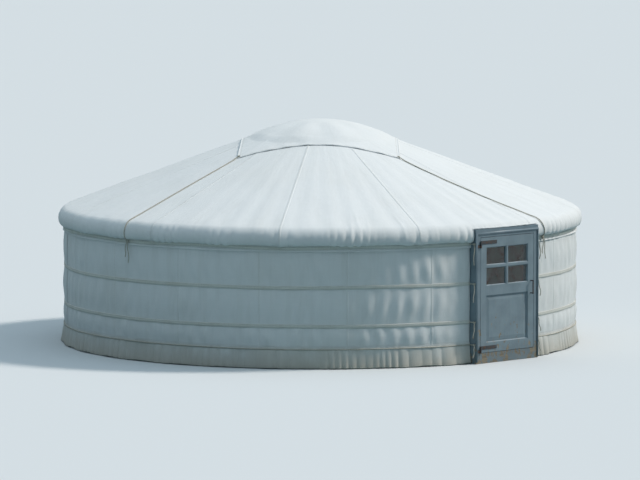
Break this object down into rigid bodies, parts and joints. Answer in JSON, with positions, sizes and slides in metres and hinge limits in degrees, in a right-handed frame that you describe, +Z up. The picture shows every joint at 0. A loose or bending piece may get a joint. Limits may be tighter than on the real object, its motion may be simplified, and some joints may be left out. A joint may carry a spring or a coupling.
{
  "type": "yurt",
  "caption": "Round felt tent house: crossed-lath wall, sloping roof poles, domed crown with a cloth flap, white canvas over felt, and a wooden door that swings outward.",
  "frame": {"origin": "centre of the round floor, on the ground", "axes": "+Z up, the doorway faces -Y"},
  "size_m": [6.04, 6.093, 2.577],
  "materials": {
    "floor_wood": "planed boards, worn",
    "bearer_wood": "rough sawn",
    "lattice_wood": "stained laths",
    "pole_paint": "painted wood",
    "crown_paint": "painted wood",
    "door_paint": "painted wood",
    "door_glass": "clear window glass",
    "iron": "black iron",
    "felt": "pressed wool felt",
    "canvas": "white cotton canvas",
    "belt_webbing": "woven belt",
    "rope": "twisted rope"
  },
  "bodies": {
    "ger": {"floor_deck": "floor_wood", "floor_bearers": "bearer_wood", "lattice_1": "lattice_wood", "lattice_2": "lattice_wood", "lattice_3": "lattice_wood", "lattice_4": "lattice_wood", "lattice_5": "lattice_wood", "door_jamb_left": "door_paint", "door_jamb_right": "door_paint", "door_lintel": "door_paint", "door_threshold": "door_paint", "door_hinge_pins": "iron", "roof_poles_1": "pole_paint", "roof_poles_2": "pole_paint", "roof_poles_3": "pole_paint", "roof_poles_4": "pole_paint", "roof_poles_5": "pole_paint", "roof_poles_door": "pole_paint", "crown_ring": "crown_paint", "crown_spokes": "crown_paint", "post_left": "crown_paint", "post_right": "crown_paint", "wall_felt_left": "felt", "wall_felt_back": "felt", "wall_felt_right": "felt", "wall_canvas_left": "canvas", "wall_canvas_back": "canvas", "wall_canvas_right": "canvas", "base_skirt_left": "canvas", "base_skirt_back": "canvas", "base_skirt_right": "canvas", "roof_felt_front": "felt", "roof_felt_back": "felt", "roof_canvas_front": "canvas", "roof_canvas_back": "canvas", "crown_flap": "canvas", "flap_ropes": "rope", "wall_belts": "belt_webbing"},
    "door": {"door_leaf": "door_paint", "door_panels": "door_paint", "door_glass": "door_glass", "door_hinge_straps": "iron", "door_handle": "iron"}
  },
  "joints": [
    {"name": "door_hinge", "type": "hinge", "parent": "ger", "child": "door", "pos_m": [-0.432, -3.036, 0.8], "axis": [0, 0, -1], "range_deg": [0, 150]}
  ]
}
